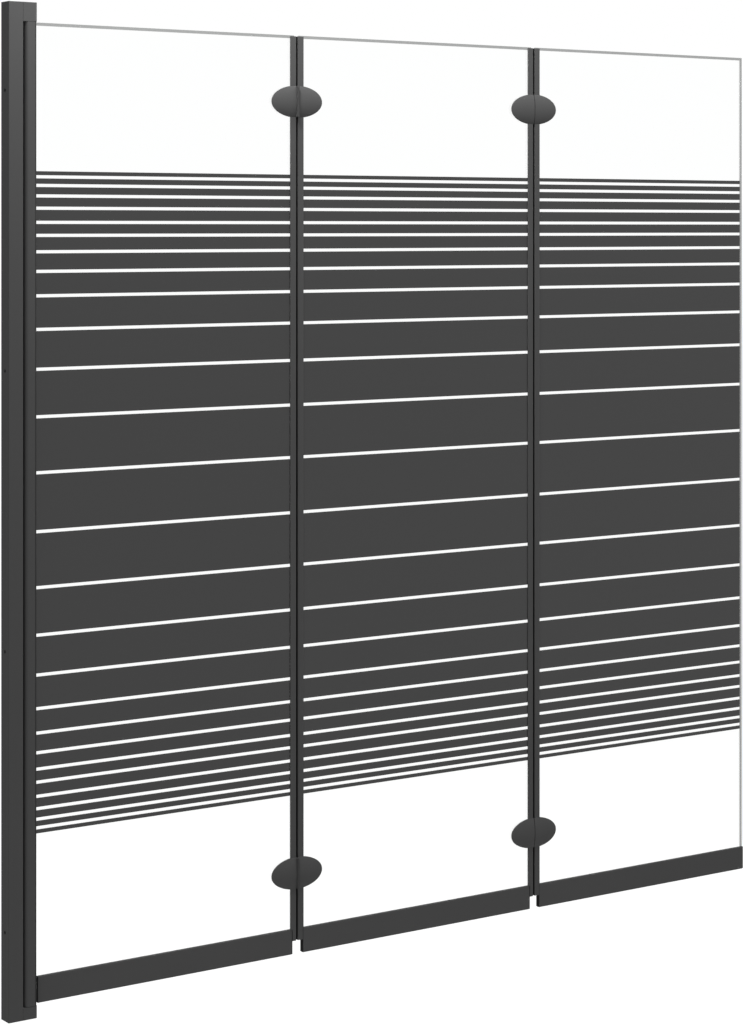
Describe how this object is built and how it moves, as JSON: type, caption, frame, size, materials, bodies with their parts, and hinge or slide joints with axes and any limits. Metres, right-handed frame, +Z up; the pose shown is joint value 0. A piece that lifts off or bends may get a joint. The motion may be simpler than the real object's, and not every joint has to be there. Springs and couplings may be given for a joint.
{
  "type": "folding bath screen",
  "caption": "Folding bath screen: wall profile with turning post, hinged glass panels with dark printed bands, oval hinges, edge seals and bottom rails.",
  "frame": {"origin": "on the wall face of the profile, in the middle of its depth, at its bottom end", "axes": "+X out from the wall along the unfolded screen, -Y the front, +Z up"},
  "size_m": [1.3215, 0.024, 1.38],
  "materials": {
    "coated_aluminium": "satin anthracite powder coat on extruded aluminium",
    "moulded_block": "fine-textured anthracite moulding",
    "hinge_plate": "satin anthracite coat on a die casting",
    "edge_seal": "semi-matt grey profile",
    "dark_seal": "matt black rubber",
    "rail_cap": "matt black moulding",
    "hinge_pad": "thin dark pad",
    "bush": "pale bearing plastic",
    "steel": "turned stainless steel",
    "pin_steel": "blackened steel",
    "screw_steel": "stainless screws",
    "glass": "clear toughened glass, polished edges",
    "print": "dark ceramic print fired on the front face"
  },
  "bodies": {
    "wall_profile": {"wall_channel": "coated_aluminium", "carrier": "coated_aluminium", "pivot_seal": "dark_seal", "top_block": "moulded_block", "bottom_block": "moulded_block", "top_bush": "bush", "bottom_bush": "bush", "lock_screws": "screw_steel"},
    "panel_1": {"pivot_post": "coated_aluminium", "top_stub": "steel", "bottom_stub": "steel", "glazing_gasket": "dark_seal", "glass_1": "glass", "print_1": "print", "rail_1": "coated_aluminium", "rail_caps_1": "rail_cap", "wiper_1": "dark_seal", "edge_seal_1_left": "edge_seal", "hinge_1_upper_front_left": "hinge_plate", "hinge_1_upper_back_left": "hinge_plate", "hinge_1_lower_front_left": "hinge_plate", "hinge_1_lower_back_left": "hinge_plate", "hinge_pads_1_left": "hinge_pad", "hinge_screws_1_left": "screw_steel", "hinge_pin_1_upper": "pin_steel", "hinge_pin_1_lower": "pin_steel"},
    "panel_2": {"edge_seal_1_right": "edge_seal", "hinge_1_upper_front_right": "hinge_plate", "hinge_1_upper_back_right": "hinge_plate", "hinge_1_lower_front_right": "hinge_plate", "hinge_1_lower_back_right": "hinge_plate", "hinge_pads_1_right": "hinge_pad", "hinge_screws_1_right": "screw_steel", "glass_2": "glass", "print_2": "print", "rail_2": "coated_aluminium", "rail_caps_2": "rail_cap", "wiper_2": "dark_seal", "edge_seal_2_left": "edge_seal", "hinge_2_upper_front_left": "hinge_plate", "hinge_2_upper_back_left": "hinge_plate", "hinge_2_lower_front_left": "hinge_plate", "hinge_2_lower_back_left": "hinge_plate", "hinge_pads_2_left": "hinge_pad", "hinge_screws_2_left": "screw_steel", "hinge_pin_2_upper": "pin_steel", "hinge_pin_2_lower": "pin_steel"},
    "panel_3": {"edge_seal_2_right": "edge_seal", "hinge_2_upper_front_right": "hinge_plate", "hinge_2_upper_back_right": "hinge_plate", "hinge_2_lower_front_right": "hinge_plate", "hinge_2_lower_back_right": "hinge_plate", "hinge_pads_2_right": "hinge_pad", "hinge_screws_2_right": "screw_steel", "glass_3": "glass", "print_3": "print", "rail_3": "coated_aluminium", "rail_caps_3": "rail_cap", "wiper_3": "dark_seal"}
  },
  "joints": [
    {"name": "wall_pivot", "type": "hinge", "parent": "wall_profile", "child": "panel_1", "pos_m": [0.0366, 0, 0], "axis": [0, 0, 1], "range_deg": [0, 90]},
    {"name": "fold_1", "type": "hinge", "parent": "panel_1", "child": "panel_2", "pos_m": [0.4607, -0.0071, 0], "axis": [0, 0, -1], "range_deg": [0, 175]},
    {"name": "fold_2", "type": "hinge", "parent": "panel_2", "child": "panel_3", "pos_m": [0.8911, 0.0071, 0], "axis": [0, 0, 1], "range_deg": [0, 180]}
  ]
}
